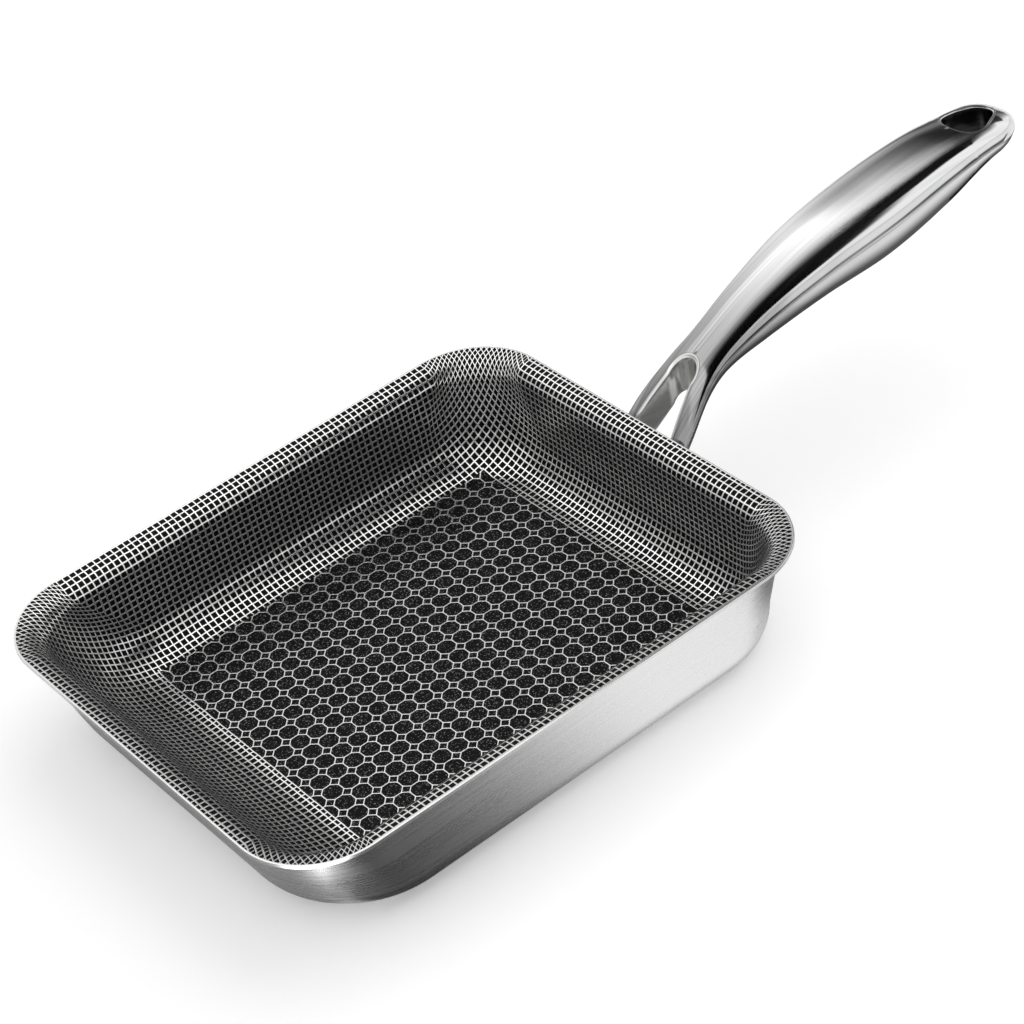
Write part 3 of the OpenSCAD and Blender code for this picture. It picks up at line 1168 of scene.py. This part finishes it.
@dataclass(frozen=True)
class Card:
    """A level card that only reflections see.

    Attributes:
        name: Object name.
        low: Its least X and Y in metres.
        high: Its greatest X and Y in metres.
        height: Its height in metres, different where cards overlap.
        cover: How much it hides of what lies beyond.
        fades: Widths over which it fades out at its least and greatest X and Y.
        glow: How bright it is: zero is black.
    """

    name: str
    low: tuple[float, float]
    high: tuple[float, float]
    height: float
    cover: float
    fades: tuple[float, float, float, float] = (0.0, 0.0, 0.0, 0.0)
    glow: float = 0.0

    def build(self) -> None:
        """Adds the card."""
        wide, deep = self.high[0] - self.low[0], self.high[1] - self.low[1]
        mesh = level_sheet(self.name, self.low, self.high, self.height)
        layer = mesh.uv_layers.new(name="place")
        layer.data.foreach_set("uv", (0.0, 0.0, wide, 0.0, wide, deep, 0.0, deep))
        g = Graph(self.name)
        tone = g.noise(g.place(), (3.0, 3.0, 3.0))
        alpha: Value = self.cover
        across, along = g.parts(g.node("ShaderNodeUVMap", {"uv_map": "place"}, None, "UV"))[:2]
        inward = (across, wide - across, along, deep - along)
        for distance, fade in zip(inward, self.fades):
            if fade > 0.0:
                alpha = g.ramp(distance, 0.0, fade) * alpha
        mesh.materials.append(
            g.surface(Base_Color=g.colour(tone, BLACK, (0.004, 0.004, 0.004)), Roughness=0.9,
                      Specular_IOR_Level=0.0, Emission_Color=(*WHITE, 1.0),
                      Emission_Strength=self.glow, Alpha=alpha)
        )
        card = add_object(self.name, mesh)
        card.visible_camera = False
        card.visible_diffuse = False
        card.visible_shadow = False


@dataclass
class Studio:
    """White floor and surround, soft lamps, the cards that metal reflects, and the camera.

    Angles are in degrees. The camera's distance, target and sensor are in millimetres, its focal
    length and frame in pixels. The clip end and the floor's half width are in metres.
    """

    azimuth: float = -32.179
    elevation: float = 37.894
    roll: float = -11.193
    distance: float = 952.779
    target: Triple = (68.84, 39.948, 0.0)
    focal: float = 2919.195
    frame_px: float = 1024.0
    sensor: float = 36.0
    clip_end: float = 50.0
    ambient: float = 0.56
    floor_half: float = 30.0
    floor_tones: tuple[float, float] = (0.85, 0.87)
    floor_glow: float = 0.26
    patches: tuple[Patch, ...] = (
        Patch((0.72, 0.58, 0.38), 30.0, 8.0, 0.8),
        Patch((0.74, 0.67, 0.05), 26.0, 12.0, 0.9),
        Patch((-0.66, 0.66, 0.36), 28.0, 8.0, 0.5),
    )
    lamps: tuple[Lamp, ...] = (
        Lamp("overhead", (0.1, 0.2, 1.4), (0.05, 0.0, 0.0), 2.2, 8.0, True),
        Lamp("key", (0.9, 0.15, 1.1), (0.0, 0.0, 0.0), 1.6, 7.0, False),
    )
    cards: tuple[Card, ...] = (
        Card("flag_grip", (0.2, -0.062), (0.345, 0.03), 0.16, 1.0, (0.03, 0.02, 0.014, 0.03)),
        Card("flag_neck", (0.07, -0.3), (0.27, 0.055), 0.161, 1.0, (0.0, 0.04, 0.0, 0.075)),
        Card("flag_shade", (0.07, -0.02), (0.34, 0.11), 0.162, 0.35, (0.0, 0.03, 0.02, 0.1)),
        Card("flag_tip", (0.2, 0.0), (0.45, 0.17), 0.163, 0.95, (0.145, 0.0, 0.012, 0.06)),
        Card("flag_wall", (-0.096, -0.2), (0.05, -0.07), 0.0012, 0.95, (0.004, 0.105, 0.0, 0.0)),
        Card("flag_corner", (-0.2, -0.077), (-0.08, 0.08), 0.0008, 0.6, (0.0, 0.0, 0.004, 0.0)),
        Card("glow_corner", (-0.2, -0.2), (-0.094, -0.075), 0.0014, 1.0,
             (0.03, 0.005, 0.03, 0.005), 3.8),
        Card("glow_wall", (-0.03, -0.22), (0.09, -0.0772), 0.001, 1.0,
             (0.06, 0.006, 0.03, 0.003), 0.95),
        Card("flag_rear", (0.088, -0.13), (0.15, 0.0), 0.0008, 0.8, (0.015, 0.03, 0.0, 0.03)),
        Card("flag_seam", (0.15, -0.108), (0.42, -0.068), 0.0009, 0.95, (0.02, 0.0, 0.01, 0.012)),
        Card("flag_belly", (0.12, -0.055), (0.36, 0.1), 0.0009, 0.88, (0.02, 0.02, 0.05, 0.02)),
        Card("flag_bore", (0.233, -0.01), (0.258, 0.01), 0.05, 1.0),
    )

    def camera(self) -> None:
        """Sets the camera from the fitted angles."""
        a, e, r = (math.radians(v) for v in (self.azimuth, self.elevation, self.roll))
        back = Vector((math.sin(a) * math.cos(e), -math.cos(a) * math.cos(e), math.sin(e)))
        right = Vector((math.cos(a), math.sin(a), 0.0))
        up = back.cross(right)
        across = right * math.cos(r) + up * math.sin(r)
        upward = up * math.cos(r) - right * math.sin(r)
        data = bpy.data.cameras.new("camera")
        data.sensor_fit = "HORIZONTAL"
        data.sensor_width = self.sensor
        data.lens = self.focal * self.sensor / self.frame_px
        data.clip_end = self.clip_end
        eye = add_object("camera", data)
        turn = Matrix((across, upward, back)).transposed().to_4x4()
        place = (Vector(self.target) + back * self.distance) * MM
        eye.matrix_world = Matrix.Translation(place) @ turn
        bpy.context.scene.camera = eye

    def floor(self) -> None:
        """Adds the floor: lit, and whitened to the eye, with the pan's soft shadow."""
        half = self.floor_half
        mesh = level_sheet("floor", (-half, -half), (half, half))
        g = Graph("floor_white")
        tone = g.noise(g.place(), (2.0, 2.0, 2.0))
        base = g.colour(tone, *((value,) * 3 for value in self.floor_tones))
        glow = g.colour(g.rays("Is Camera Ray"), BLACK, (self.floor_glow,) * 3)
        mesh.materials.append(
            g.surface(Base_Color=base, Roughness=1.0, Specular_IOR_Level=0.0,
                      Emission_Color=glow, Emission_Strength=1.0)
        )
        add_object("floor", mesh)

    def surround(self) -> None:
        """Sets the world: white to the eye, with dark patches in metal, softer as a light."""
        world = bpy.data.worlds.new("surround")
        bpy.context.scene.world = world
        g = Graph(world)
        way = g.node("ShaderNodeTexCoord", None, None, "Generated")
        dark: Value = 0.0
        for patch in self.patches:
            near = g.node("ShaderNodeVectorMath", {"operation": "DOT_PRODUCT"},
                          {0: way, 1: patch.toward}, "Value")
            low, high = (math.cos(math.radians(a)) for a in (patch.wide, patch.narrow))
            dark = g.math("MAXIMUM", dark, g.ramp(near, low, high, 0.0, patch.depth))
        studio = 1.0 - dark
        white, glossy = g.rays("Is Camera Ray", "Is Transmission Ray"), g.rays("Is Glossy Ray")
        level = self.ambient + white * (1.0 - self.ambient) + glossy * (studio - self.ambient)
        glow = g.node("ShaderNodeBackground", None, {"Color": (*WHITE, 1.0), "Strength": level})
        g.node("ShaderNodeOutputWorld", None, {"Surface": glow})

    def build(self) -> None:
        """Sets the view, the surround, the floor, the lamps, the cards and the camera."""
        bpy.context.scene.view_settings.view_transform = "Standard"
        self.surround()
        self.floor()
        for thing in (*self.lamps, *self.cards):
            thing.build()
        self.camera()


# ---------------- whole


def main() -> None:
    """Builds the pan, the handle and the studio."""
    logging.basicConfig(level=logging.INFO, format="%(message)s")
    satin, bare, core, polished, lined, bore = (
        finish.build() for finish in (SATIN, BARE, CORE, POLISHED, LINING, BORE)
    )
    CladPan().build(satin, core, bare, EtchedInterior().build())
    ForkedHandle().build(polished, lined, bore)
    RearWelds().build(lined, satin)
    Studio().build()


if __name__ == "__main__":
    main()
